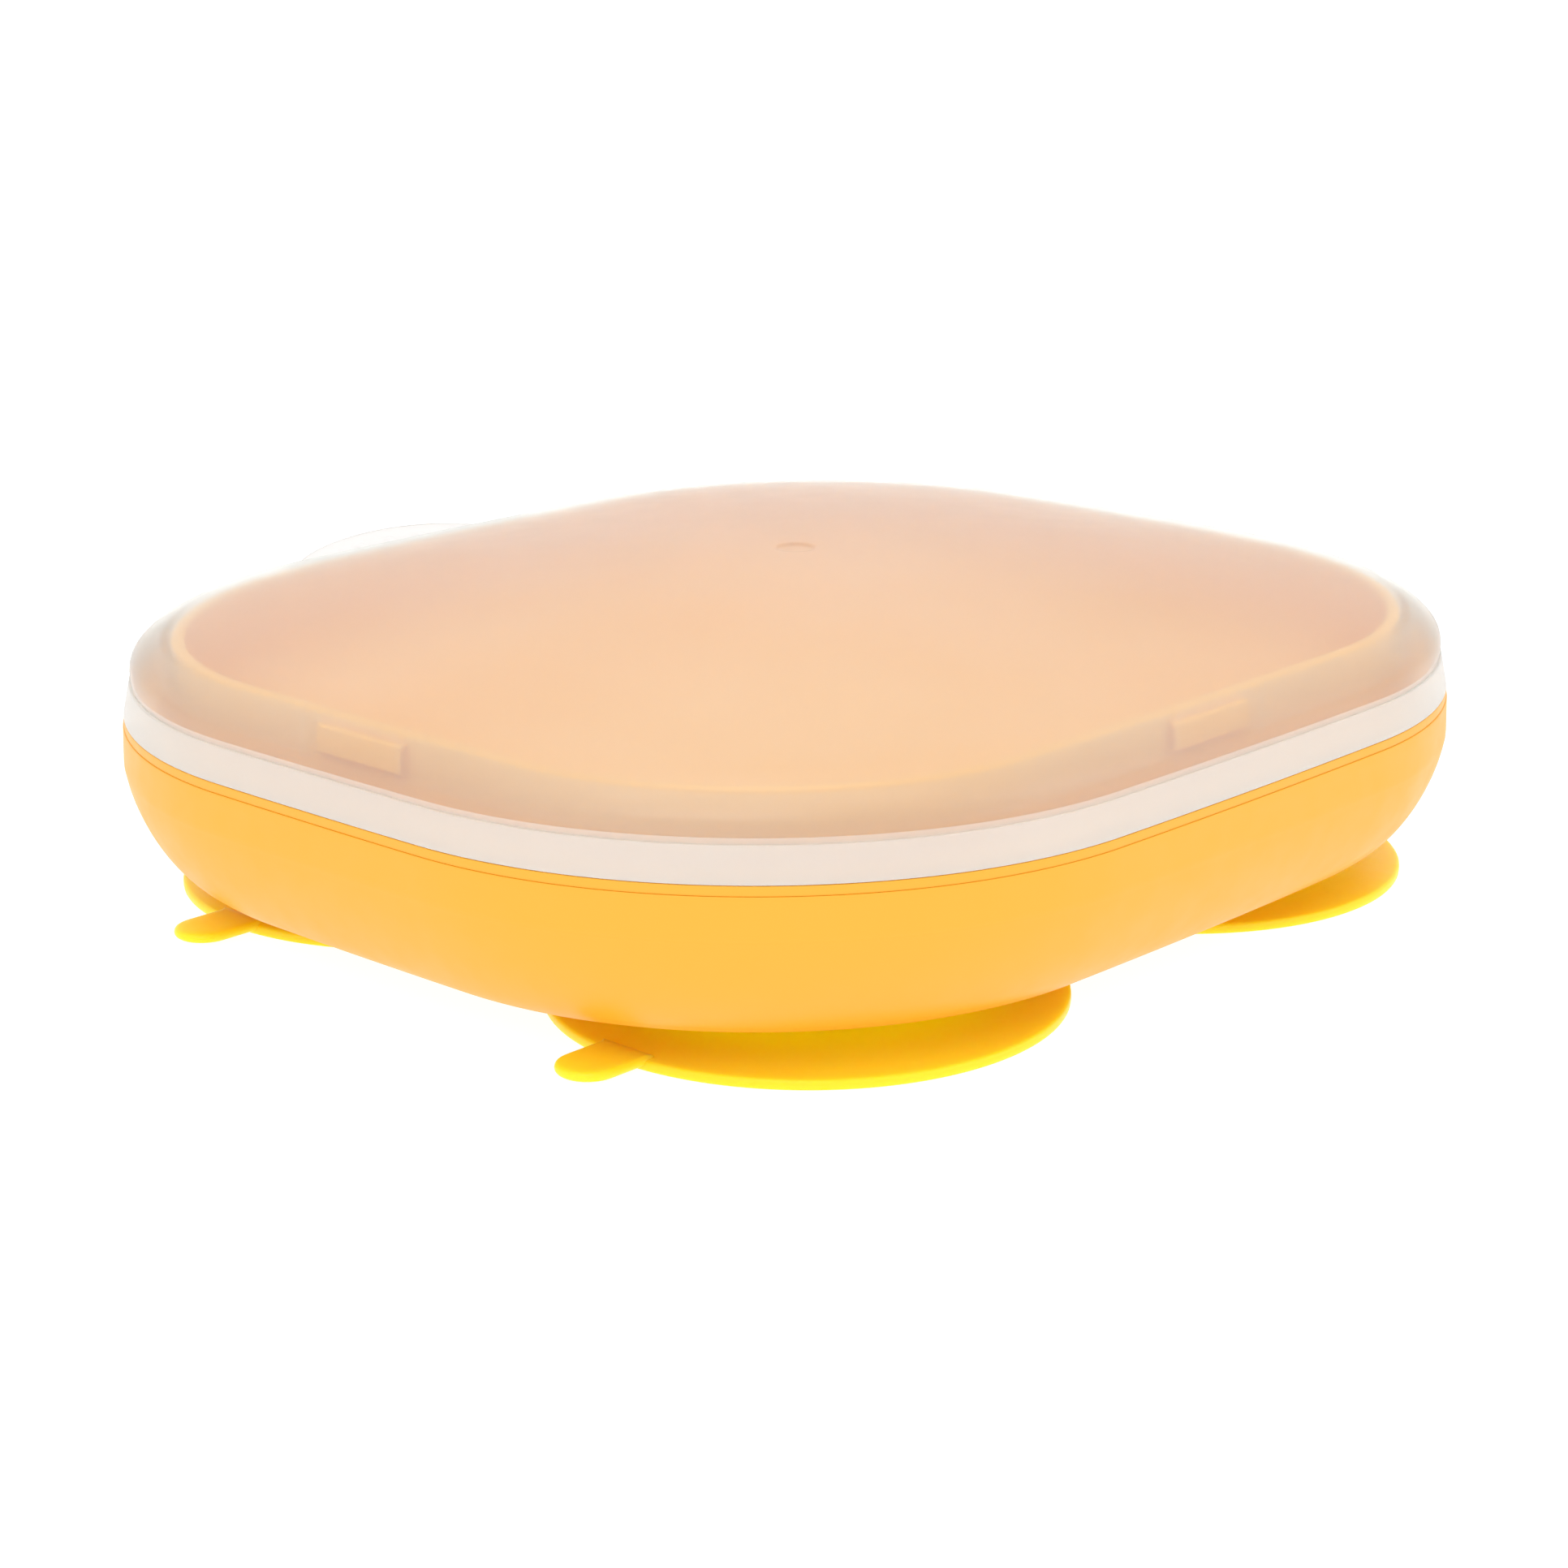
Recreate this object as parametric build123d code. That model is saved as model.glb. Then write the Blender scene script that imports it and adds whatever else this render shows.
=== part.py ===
"""A toddler's suction bowl: a double-walled bowl on four suction cups, under a frosted lid.

Units are millimetres. The origin is the bowl's centre on the table, +Z is up, +X runs along the
bowl's long axis and +Y points to the side that carries the lid's pull tab.
"""

from build123d import *
from math import cos, hypot, radians, sin
import os

# ---- Plan of the bowl: a rounded rectangle whose sides bow out a little ----
RIM_HALF_LENGTH = 90.0
RIM_HALF_WIDTH = 81.0
RIM_CORNER = 62.2
SIDE_BOW = 1300.0

# ---- Plan of the mouth: the outer face of the lid's inner ring ----
MOUTH_INSET = 7.7
MOUTH_CORNER_TIGHTER = 5.5

# ---- Heights above the table ----
SHELL_BOTTOM = 6.0
SHELL_TOP = 26.9
BULGE_BELOW_TOP = 4.8
FLANGE = 1.3
LID_SEAT_GAP = 0.1
SKIRT_HEIGHT = 4.6
RIM_LID_GAP = 0.3637
DOME_STAND = 14.9

# ---- Outer shell ----
SHELL_WALL = 2.0
BULGE = 0.3
UNDERCUT = 8.7
BELLY_POWER = 1.53
BELLY_FOOT = 0.8
SHELL_TOP_STEP = 0.15

# ---- Bowl liner ----
DISH_WALL = 2.0
RIM_WALL = 2.0
RIM_ROUND = 0.8
DISH_DRAFT = 0.9
DISH_CURVE = 20.0
SPIGOT_DEPTH = 1.5
SPIGOT_WALL = 1.4
SPIGOT_CLEARANCE = 0.15
LUG_WIDTH = 16.4
LUG_HEIGHT = 3.8
LUG_PROUD = 1.1
LUG_BELOW_RIM = 1.4

# ---- Lid ----
LID_WALL = 1.2
SKIRT_LEAN = 0.95
STEP_LEDGE = 0.4
SIDE_RISE = 1.7
SIDE_BULGE = 0.2
SHOULDER_RISE = 8.16
SHOULDER_RUN = 34.1
SHOULDER_POWER = 2.2
RING_WALL = 1.2
RING_CLEARANCE = 0.3
RING_DROP = 5.6
NOTCH_CLEARANCE = 0.4
NOTCH_RIB = 1.4
NOTCH_RIB_PROUD = 0.8

# ---- How far a cutting solid runs past the face that it cuts ----
OVERCUT = 1.0
TRIM = 0.01
SIDE_BLOCK_DEPTH = 20.0

# ---- Lid pull tab ----
TAB_HALF_WIDTH = 26.0
TAB_REACH = 13.5
TAB_TILT = 20.0
TAB_WALL = 1.3
TAB_RIBS = 7
TAB_RIB_PITCH = 6.2
TAB_RIB_WIDTH = 2.0
TAB_RIB_HEIGHT = 0.5
TAB_ROOT = 2.4
TAB_BELOW_STEP = 0.5
TAB_SHOULDER = 0.86
TAB_RIB_SHARE = 0.75

# ---- Suction cups ----
CUP_RADIUS = 34.6
CUP_GAP_X = 9.0
CUP_GAP_Y = 6.2
CUP_LIP = 1.4
CUP_LIP_FLAT = 2.6
CUP_HOLLOW = 2.6
CUP_SKIRT_TOP = 3.6
CUP_HUB_RADIUS = 9.0
CUP_HUB_GAP = 0.3
CUP_HUB_FLARE = 3.0
STEM_RADIUS = 5.0
STEM_CLEARANCE = 0.08
HEAD_RADIUS = 7.2
HEAD_TIP_RADIUS = 4.6
HEAD_HEIGHT = 2.0
HEAD_EDGE = 0.5
HEAD_GAP = 0.3
HEAD_ROOM = 1.1
PULL_LENGTH = 9.5
PULL_WIDTH = 8.5
PULL_WALL = 1.3
PULL_RAISE = 0.6

# ---- Heights and offsets that follow from the sizes above ----
BULGE_HEIGHT = SHELL_TOP - BULGE_BELOW_TOP
FLANGE_TOP = SHELL_TOP + FLANGE
SKIRT_BOTTOM = FLANGE_TOP + LID_SEAT_GAP
STEP_HEIGHT = SKIRT_BOTTOM + SKIRT_HEIGHT
LID_TOP = STEP_HEIGHT + DOME_STAND
MOUTH_CORNER = RIM_CORNER - MOUTH_INSET - MOUTH_CORNER_TIGHTER
RIM_FACE = -(RING_WALL + RING_CLEARANCE)
LID_SIDE = -SKIRT_LEAN - STEP_LEDGE + SIDE_BULGE
RIM_CORNER_REACH = -MOUTH_INSET + MOUTH_CORNER_TIGHTER * (2**0.5 - 1) + RIM_FACE
RIM_ACROSS = 1 - (LID_SIDE - RIM_CORNER_REACH) / SHOULDER_RUN
SHOULDER_SHARE = (1 - RIM_ACROSS**SHOULDER_POWER) ** (1 / SHOULDER_POWER)
LID_OVER_RIM = STEP_HEIGHT + SIDE_RISE + SHOULDER_RISE * SHOULDER_SHARE
BOWL_RIM_HEIGHT = LID_OVER_RIM - LID_WALL - RIM_LID_GAP
RING_BOTTOM = BOWL_RIM_HEIGHT - RING_DROP
LUG_TOP = BOWL_RIM_HEIGHT - LUG_BELOW_RIM
NOTCH_WIDTH = LUG_WIDTH + 2 * NOTCH_CLEARANCE
NOTCH_TOP = LUG_TOP + NOTCH_CLEARANCE
CUP_TOP = SHELL_BOTTOM - CUP_HUB_GAP
STEM_TOP = SHELL_BOTTOM + SHELL_WALL + HEAD_GAP
DISH_FLOOR = STEM_TOP + HEAD_HEIGHT + HEAD_ROOM + DISH_WALL
CUP_SPACING_X = 2 * CUP_RADIUS + CUP_GAP_X
CUP_SPACING_Y = 2 * CUP_RADIUS + CUP_GAP_Y


def outline(half_length, half_width, corner, side=SIDE_BOW):
    """Flat face of a rounded rectangle with bowed sides, each stretch one arc."""
    end_centre = Vector(half_length - side, 0)
    flank_centre = Vector(0, half_width - side)
    between = flank_centre - end_centre
    half_gap = between.length / 2
    rise = ((side - corner) ** 2 - half_gap**2) ** 0.5
    normal = Vector(-between.Y, between.X).normalized()
    if normal.X + normal.Y < 0:
        normal = normal * -1
    centre = (end_centre + flank_centre) * 0.5 + normal * rise
    near_end = end_centre + (centre - end_centre).normalized() * side
    near_flank = flank_centre + (centre - flank_centre).normalized() * side
    middle = centre + ((near_end + near_flank) * 0.5 - centre).normalized() * corner
    edges = []
    for sx, sy in ((1, 1), (-1, 1), (-1, -1), (1, -1)):
        corner_points = [
            (sx * p.X, sy * p.Y) for p in (near_end, middle, near_flank)
        ]
        if sx * sy < 0:
            corner_points.reverse()
        edges.append(ThreePointArc(*corner_points))
    edges.append(mirrored_side(near_end, (half_length, 0)))
    edges.append(mirrored_side(near_flank, (0, half_width)))
    edges.append(mirrored_side(near_end * -1, (-half_length, 0)))
    edges.append(mirrored_side(near_flank * -1, (0, -half_width)))
    return make_face(Curve() + edges)


def mirrored_side(end, middle):
    """Arc of one side, from one corner through the side's middle to the other corner."""
    across = (end.X, -end.Y) if middle[1] == 0 else (-end.X, end.Y)
    return ThreePointArc((end.X, end.Y), middle, across)


def rim_face(offset):
    """Plan of the rim, moved outward by offset."""
    return outline(
        RIM_HALF_LENGTH + offset, RIM_HALF_WIDTH + offset, RIM_CORNER + offset, SIDE_BOW + offset
    )


def mouth_face(offset):
    """Plan of the mouth, moved outward by offset."""
    return outline(
        RIM_HALF_LENGTH - MOUTH_INSET + offset,
        RIM_HALF_WIDTH - MOUTH_INSET + offset,
        MOUTH_CORNER + offset,
        SIDE_BOW + offset,
    )


def slab(face, low, high):
    """Straight-sided solid of a plan face between two heights."""
    return Pos(0, 0, low) * extrude(face, high - low)


def skin(faces):
    """Solid through plan faces, each given as (face, height), lowest first."""
    return loft([Pos(0, 0, height) * face for face, height in faces], ruled=True)


def belly_profile(inset, first_height):
    """(offset, height) of the shell's side, lowest first, moved inward by inset."""
    depth = BULGE_HEIGHT - SHELL_BOTTOM - BELLY_FOOT
    run = BULGE + UNDERCUT
    points = [
        (-UNDERCUT - 2 * run, SHELL_BOTTOM),
        (-UNDERCUT - run, SHELL_BOTTOM + 0.1 * BELLY_FOOT),
        (-UNDERCUT - 0.35 * run, SHELL_BOTTOM + 0.55 * BELLY_FOOT),
    ]
    for turn in (84, 68, 52, 36, 18, 0):
        across = cos(radians(turn)) ** (2 / BELLY_POWER)
        down = sin(radians(turn)) ** (2 / BELLY_POWER)
        points.append((BULGE - run * (1 - across), BULGE_HEIGHT - depth * down))
    points.append((SHELL_TOP_STEP, SHELL_TOP))
    return moved_in(points, inset, first_height)


def moved_in(points, inset, first_height=None):
    """Profile moved to its inner side by inset, square to its own line."""
    if inset == 0:
        return points
    moved = []
    last = len(points) - 1
    for i, (offset, height) in enumerate(points):
        before, after = points[max(i - 1, 0)], points[min(i + 1, last)]
        run, rise = after[0] - before[0], after[1] - before[1]
        long = hypot(run, rise)
        moved.append((offset - inset * rise / long, height + inset * run / long))
    if first_height is not None:
        moved[0] = (moved[0][0], first_height)
    return moved


def make_shell():
    """Outer shell of the bowl, with a hole over each cup for its stem."""
    outside = skin([(rim_face(o), z) for o, z in belly_profile(0, SHELL_BOTTOM)])
    inner = belly_profile(SHELL_WALL, SHELL_BOTTOM + SHELL_WALL)
    inner[-1] = (SHELL_TOP_STEP - SHELL_WALL, SHELL_TOP + OVERCUT)
    shell = outside - skin([(rim_face(o), z) for o, z in inner])
    for x, y in cup_places():
        hole = Cylinder(STEM_RADIUS + STEM_CLEARANCE, 4 * SHELL_WALL)
        shell -= Pos(x, y, SHELL_BOTTOM + SHELL_WALL / 2) * hole
    return shell


def cup_places():
    """Centres of the four cups."""
    return [
        (sx * CUP_SPACING_X / 2, sy * CUP_SPACING_Y / 2)
        for sx, sy in ((-1, -1), (1, -1), (-1, 1), (1, 1))
    ]


def dish_profile(inset, low, high):
    """(offset, height) of the dish's side, lowest first; inset is measured from the rim face."""
    top = RIM_FACE - inset
    depth = SHELL_TOP - low
    points = []
    for turn in (90, 74, 58, 42, 26, 10):
        across = 1 - cos(radians(turn))
        down = sin(radians(turn))
        points.append((top - DISH_DRAFT - DISH_CURVE * across, SHELL_TOP - depth * down))
    points.append((top, high))
    return points


def mid_sides():
    """Angle and reach of the middle of each side, for what repeats there."""
    return [
        (0, RIM_HALF_LENGTH), (90, RIM_HALF_WIDTH),
        (180, RIM_HALF_LENGTH), (270, RIM_HALF_WIDTH),
    ]


def side_blocks(width, low, high):
    """One block across the middle of each side, wide enough in and out to reach any wall."""
    blocks = Part()
    for angle, reach in mid_sides():
        block = Pos(reach - MOUTH_INSET, 0, (low + high) / 2) * Box(SIDE_BLOCK_DEPTH, width, high - low)
        blocks += Rot(0, 0, angle) * block
    return blocks


def make_liner():
    """Inner bowl: the dish, its upstanding rim and the flange that the lid stands on."""
    dish = skin([(mouth_face(o), z) for o, z in dish_profile(0, DISH_FLOOR - DISH_WALL, SHELL_TOP)])
    body = dish + slab(mouth_face(RIM_FACE), SHELL_TOP, BOWL_RIM_HEIGHT)
    body += slab(rim_face(0), SHELL_TOP, FLANGE_TOP)
    spigot_face = -SHELL_WALL + SHELL_TOP_STEP - SPIGOT_CLEARANCE
    body += slab(rim_face(spigot_face), SHELL_TOP - SPIGOT_DEPTH, SHELL_TOP) - slab(
        rim_face(spigot_face - SPIGOT_WALL), SHELL_TOP - SPIGOT_DEPTH, SHELL_TOP
    )
    lugs = slab(mouth_face(RIM_FACE + LUG_PROUD), LUG_TOP - LUG_HEIGHT, LUG_TOP) & side_blocks(
        LUG_WIDTH, LUG_TOP - LUG_HEIGHT, LUG_TOP
    )
    body += lugs
    inside = dish_profile(RIM_WALL, DISH_FLOOR, BOWL_RIM_HEIGHT + OVERCUT)
    body -= skin([(mouth_face(o), z) for o, z in inside])
    rim_edges = body.edges().filter_by(lambda e: abs(e.bounding_box().min.Z - BOWL_RIM_HEIGHT) < TRIM)
    return fillet(rim_edges, RIM_ROUND)


def lid_profile():
    """(offset, height) of the lid above its step, lowest first, up to where the dome begins."""
    foot = LID_SIDE - SIDE_BULGE
    points = [(foot, STEP_HEIGHT), (foot + 0.7 * SIDE_BULGE, STEP_HEIGHT + 0.5 * SIDE_RISE)]
    for turn in (0, 11, 22, 33, 45):
        across = cos(radians(turn)) ** (2 / SHOULDER_POWER)
        up = sin(radians(turn)) ** (2 / SHOULDER_POWER)
        offset = LID_SIDE - SHOULDER_RUN * (1 - across)
        points.append((offset, STEP_HEIGHT + SIDE_RISE + SHOULDER_RISE * up))
    return points


def dome_faces(points, top):
    """Plan faces of the lid's side and of the shallow dome that closes it."""
    offset, height = points[-1]
    half_length, half_width = RIM_HALF_LENGTH + offset, RIM_HALF_WIDTH + offset
    faces = [(rim_face(o), z) for o, z in points]
    for share in (0.86, 0.68, 0.48, 0.28, 0.08):
        face = outline(
            half_length * share, half_width * share, (RIM_CORNER + offset) * share, SIDE_BOW * share
        )
        faces.append((face, top - (top - height) * share**2))
    return faces


def make_lid():
    """Frosted lid: skirt, step, domed top, inner ring with notches over the lugs, pull tab."""
    skirt = skin([(rim_face(0), SKIRT_BOTTOM), (rim_face(-SKIRT_LEAN), STEP_HEIGHT)])
    side = lid_profile()
    outside = skirt + skin(dome_faces(side, LID_TOP))
    inside = skin(dome_faces(moved_in(side, LID_WALL, STEP_HEIGHT), LID_TOP - LID_WALL))
    under_step = skin(
        [(rim_face(-LID_WALL), SKIRT_BOTTOM - TRIM), (rim_face(-SKIRT_LEAN - LID_WALL), STEP_HEIGHT + TRIM)]
    )
    ring = slab(mouth_face(0), RING_BOTTOM, LID_TOP) - slab(mouth_face(-RING_WALL), RING_BOTTOM, LID_TOP)
    ribs = (
        slab(mouth_face(NOTCH_RIB_PROUD), RING_BOTTOM, LID_TOP)
        - slab(mouth_face(-RING_WALL), RING_BOTTOM, LID_TOP)
    ) & side_blocks(NOTCH_WIDTH + 2 * NOTCH_RIB, RING_BOTTOM, LID_TOP)
    ring = (ring + ribs - side_blocks(NOTCH_WIDTH, RING_BOTTOM - OVERCUT, NOTCH_TOP)) & outside
    lid = outside - inside - under_step + ring
    return lid + make_tab(outside)


def make_tab(lid_body):
    """Pull tab at the middle of the +Y side, tilted up, with ribs for the thumb."""
    half, reach = TAB_HALF_WIDTH, TAB_REACH
    shoulder = (half * TAB_SHOULDER, reach / 2)
    edge = Spline(
        (-half, -TAB_ROOT), (-shoulder[0], shoulder[1]), (0, reach), shoulder, (half, -TAB_ROOT)
    )
    plate = extrude(make_face(edge + Line((half, -TAB_ROOT), (-half, -TAB_ROOT))), TAB_WALL)
    ribs = Part()
    for i in range(TAB_RIBS):
        x = (i - (TAB_RIBS - 1) / 2) * TAB_RIB_PITCH
        length = reach * (1 - (x / half) ** 2) ** 0.5 * TAB_RIB_SHARE
        on_root = (Align.CENTER, Align.MIN, Align.MIN)
        ribs += Pos(x, 0, 0) * Box(TAB_RIB_WIDTH, length, TAB_RIB_HEIGHT + TAB_WALL, align=on_root)
    root = Pos(0, RIM_HALF_WIDTH - SKIRT_LEAN, STEP_HEIGHT - TAB_WALL - TAB_BELOW_STEP)
    return root * Rot(TAB_TILT, 0, 0) * (plate + ribs) - lid_body


def make_cup(x, y):
    """Suction cup: thin cup, hub, stem, mushroom head and a pull tongue pointing away in X."""
    hub, stem, head = CUP_HUB_RADIUS, STEM_RADIUS, HEAD_RADIUS
    section = Polyline(
        (0, CUP_HOLLOW), (CUP_HUB_RADIUS, CUP_HOLLOW), (CUP_RADIUS - CUP_LIP_FLAT, 0),
        (CUP_RADIUS, 0), (CUP_RADIUS, CUP_LIP), (hub + CUP_HUB_FLARE, CUP_SKIRT_TOP), (hub, CUP_TOP),
        (stem, CUP_TOP), (stem, STEM_TOP), (head, STEM_TOP), (head, STEM_TOP + HEAD_EDGE),
        (HEAD_TIP_RADIUS, STEM_TOP + HEAD_HEIGHT), (0, STEM_TOP + HEAD_HEIGHT), close=True,
    )
    cup = revolve(Plane.XZ * make_face(section), Axis.Z)
    rounded = PULL_WIDTH / 2
    run = CUP_RADIUS + PULL_LENGTH - rounded
    tongue = Pos(-run / 2, 0) * Rectangle(run, PULL_WIDTH) + Pos(-run, 0) * Circle(rounded)
    tongue = Pos(0, 0, PULL_RAISE) * extrude(tongue, PULL_WALL)
    tongue -= Cylinder(CUP_RADIUS - CUP_LIP_FLAT, 2 * CUP_TOP)
    cup += tongue
    turn = 0 if x < 0 else 180
    return Pos(x, y, 0) * Rot(0, 0, turn) * cup


def cup_names():
    """Node names of the cups, in the order of cup_places."""
    return [
        "suction_cup_front_left", "suction_cup_front_right",
        "suction_cup_back_left", "suction_cup_back_right",
    ]


def main():
    os.makedirs("parts", exist_ok=True)
    pieces = {"lid": make_lid(), "bowl_liner": make_liner(), "outer_shell": make_shell()}
    for name, (x, y) in zip(cup_names(), cup_places()):
        pieces[name] = make_cup(x, y)
    for name, piece in pieces.items():
        export_step(piece, f"parts/{name}.step")


main()
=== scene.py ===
"""A toddler's suction bowl: a two-walled orange bowl on four suction cups under a frosted lid.

Lengths are metres. The origin is the bowl's centre on the table, +Z is up, +X runs along the
bowl's long axis and +Y points to the side that carries the lid's pull tab.
"""

import logging
from dataclasses import dataclass, field
from enum import Enum
from math import cos, pi, radians, sin, sqrt, tau
from typing import ClassVar

import bmesh
import bpy
import numpy as np
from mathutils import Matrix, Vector


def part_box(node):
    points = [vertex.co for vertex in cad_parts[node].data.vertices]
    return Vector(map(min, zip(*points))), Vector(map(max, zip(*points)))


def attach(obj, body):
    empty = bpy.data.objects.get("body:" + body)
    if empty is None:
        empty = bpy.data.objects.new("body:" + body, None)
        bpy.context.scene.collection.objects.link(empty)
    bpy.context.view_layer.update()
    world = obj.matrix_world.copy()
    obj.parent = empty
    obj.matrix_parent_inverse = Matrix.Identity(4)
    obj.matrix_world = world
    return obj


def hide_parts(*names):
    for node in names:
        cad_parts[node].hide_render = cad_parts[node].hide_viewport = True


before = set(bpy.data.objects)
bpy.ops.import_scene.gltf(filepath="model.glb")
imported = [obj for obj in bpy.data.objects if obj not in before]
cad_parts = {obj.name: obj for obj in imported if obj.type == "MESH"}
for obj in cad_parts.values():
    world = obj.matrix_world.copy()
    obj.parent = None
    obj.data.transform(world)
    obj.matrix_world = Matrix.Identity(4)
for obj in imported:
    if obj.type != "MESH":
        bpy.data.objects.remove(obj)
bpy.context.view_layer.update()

MM = 0.001
POLYPROPYLENE_IOR = 1.49
SILICONE_IOR = 1.41
log = logging.getLogger("suction_bowl")


class Slot(Enum):
    """Material slots that the record names."""

    LID = "frosted_lid"
    BOWL = "bowl_plastic"
    CUP = "cup_silicone"


# --------------------------------------------------------------------------------------
# Plans and sections
# --------------------------------------------------------------------------------------


@dataclass(frozen=True)
class Plan:
    """A rounded rectangle whose four sides bow out a little, each stretch one arc."""

    half_length: float
    half_width: float
    corner: float
    bow: float

    def centres(self) -> tuple[np.ndarray, np.ndarray, np.ndarray]:
        """Find the centres of the +X side arc, the first corner arc and the +Y side arc.

        Returns:
            The three centres, each as (x, y).
        """
        end = np.array([self.half_length - self.bow, 0.0])
        flank = np.array([0.0, self.half_width - self.bow])
        between = flank - end
        rise = sqrt((self.bow - self.corner) ** 2 - between @ between / 4)
        normal = np.array([-between[1], between[0]]) / np.linalg.norm(between)
        if normal.sum() < 0:
            normal = -normal
        return end, (end + flank) / 2 + normal * rise, flank

    def corner_angles(self) -> tuple[float, float]:
        """Find the directions in which the corner arc starts and ends.

        Returns:
            The two directions, in radians.
        """
        end, corner, flank = self.centres()
        first, last = corner - end, corner - flank
        return float(np.arctan2(first[1], first[0])), float(np.arctan2(last[1], last[0]))

    def distance(self, points: np.ndarray) -> np.ndarray:
        """Measure how far points lie outside the plan, negative when inside.

        Args:
            points: Places in the plan, one (x, y) a row.

        Returns:
            One signed distance for each point.
        """
        end, corner, flank = self.centres()
        first, last = self.corner_angles()
        folded = np.abs(points)
        from_corner = folded - corner
        angle = np.arctan2(from_corner[:, 1], from_corner[:, 0])
        to_end = np.linalg.norm(folded - end, axis=1) - self.bow
        to_flank = np.linalg.norm(folded - flank, axis=1) - self.bow
        to_corner = np.linalg.norm(from_corner, axis=1) - self.corner
        return np.where(angle < first, to_end, np.where(angle > last, to_flank, to_corner))


@dataclass(frozen=True)
class Stations:
    """Places round a plan, each with the direction that points straight out of it."""

    base: np.ndarray
    normal: np.ndarray
    EDGE: ClassVar[float] = 0.02 * MM
    SETTLE: ClassVar[int] = 12

    @classmethod
    def around(cls, plan: Plan, marks: list[float], pitch: float) -> "Stations":
        """Set out stations round a plan, closer where a piece needs a crisp edge.

        Args:
            plan: The outline to walk round.
            marks: Distances from the middle of each side that need a station on each hand.
            pitch: Longest step between stations.

        Returns:
            The stations, anticlockwise from the middle of the +X side.
        """
        first, last = plan.corner_angles()
        lengths = [first * plan.bow, (last - first) * plan.corner, (pi / 2 - last) * plan.bow]
        total = sum(lengths)
        edges = sorted(m + hand for m in marks for hand in (-cls.EDGE, cls.EDGE))
        fixed = edges + [total - e for e in edges]
        count = round(total / pitch)
        even = [total * i / count for i in range(1, count)]
        spaced = [s for s in even if min(abs(s - f) for f in fixed) > pitch / 4]
        quarter = sorted([0.0, *spaced, *fixed, total])
        base, normal = [], []
        for step in quarter:
            place, direction = cls._at(plan, lengths, first, last, step)
            base.append(place)
            normal.append(direction)
        base_rows, normal_rows = np.array(base), np.array(normal)
        turns = [(1, 1, 1), (-1, 1, -1), (-1, -1, 1), (1, -1, -1)]
        all_base = [base_rows[::way][:-1] * (sx, sy) for sx, sy, way in turns]
        all_normal = [normal_rows[::way][:-1] * (sx, sy) for sx, sy, way in turns]
        return cls(np.concatenate(all_base), np.concatenate(all_normal))

    @staticmethod
    def _at(
        plan: Plan, lengths: list[float], first: float, last: float, step: float
    ) -> tuple[np.ndarray, np.ndarray]:
        """Find the place and outward direction at a distance round the first quarter.

        Args:
            plan: The outline.
            lengths: Lengths of the quarter's three arcs.
            first: Direction in which the corner arc starts, in radians.
            last: Direction in which the corner arc ends, in radians.
            step: Distance from the middle of the +X side.

        Returns:
            The place and the unit direction.
        """
        end, corner, flank = plan.centres()
        if step <= lengths[0]:
            angle, centre, radius = step / plan.bow, end, plan.bow
        elif step <= lengths[0] + lengths[1]:
            angle = first + (step - lengths[0]) / plan.corner
            centre, radius = corner, plan.corner
        else:
            angle = last + (step - lengths[0] - lengths[1]) / plan.bow
            centre, radius = flank, plan.bow
        direction = np.array([cos(angle), sin(angle)])
        return centre + direction * radius, direction

    def along(self) -> np.ndarray:
        """Give each station's distance from the middle of the side that it faces."""
        faces_x = np.abs(self.normal[:, 0]) > np.abs(self.normal[:, 1])
        return np.where(faces_x, np.abs(self.base[:, 1]), np.abs(self.base[:, 0]))

    def offsets_to(self, plan: Plan, target: float) -> np.ndarray:
        """Find how far out along its direction each station reaches another plan.

        Args:
            plan: The plan to reach.
            target: Distance outside that plan at which to stop.

        Returns:
            One offset for each station.
        """
        reach = np.full(len(self.base), target)
        for _ in range(self.SETTLE):
            here = self.base + self.normal * reach[:, None]
            reach = reach - (plan.distance(here) - target)
        return reach

    def loop(self, offset: float | np.ndarray, height: float | np.ndarray) -> np.ndarray:
        """Make one closed loop of points.

        Args:
            offset: How far out of the plan the loop lies, all round or at each station.
            height: Height of the loop, all round or at each station.

        Returns:
            One (x, y, z) a row.
        """
        reach = np.broadcast_to(np.asarray(offset, float), len(self.base))
        level = np.broadcast_to(np.asarray(height, float), len(self.base))
        flat = self.base + self.normal * reach[:, None]
        return np.column_stack([flat, level])


def rounded(
    before: tuple[float, float],
    corner: tuple[float, float],
    after: tuple[float, float],
    radius: float,
    steps: int = 4,
) -> list[tuple[float, float]]:
    """Round one corner of a section.

    Args:
        before: The section's point before the corner.
        corner: The corner.
        after: The section's point after the corner.
        radius: How far back from the corner the rounding starts on each line.
        steps: How many pieces the rounding has.

    Returns:
        Points along the rounding, from the first line to the second.
    """
    b, c, a = np.array(before), np.array(corner), np.array(after)
    start = c + (b - c) / np.linalg.norm(b - c) * radius
    stop = c + (a - c) / np.linalg.norm(a - c) * radius
    shares = np.linspace(0, 1, steps + 1)
    return [tuple(start * (1 - t) ** 2 + c * 2 * t * (1 - t) + stop * t * t) for t in shares]


def moved_in(points: list[tuple[float, float]], wall: float) -> list[tuple[float, float]]:
    """Move a section to its inner side, square to its own line.

    Args:
        points: The section as (offset, height), lowest first.
        wall: How far to move it.

    Returns:
        The moved section.
    """
    rows = np.array(points)
    run = np.gradient(rows, axis=0)
    run /= np.linalg.norm(run, axis=1)[:, None]
    inward = np.column_stack([-run[:, 1], run[:, 0]])
    return [tuple(p) for p in rows + inward * wall]


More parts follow.
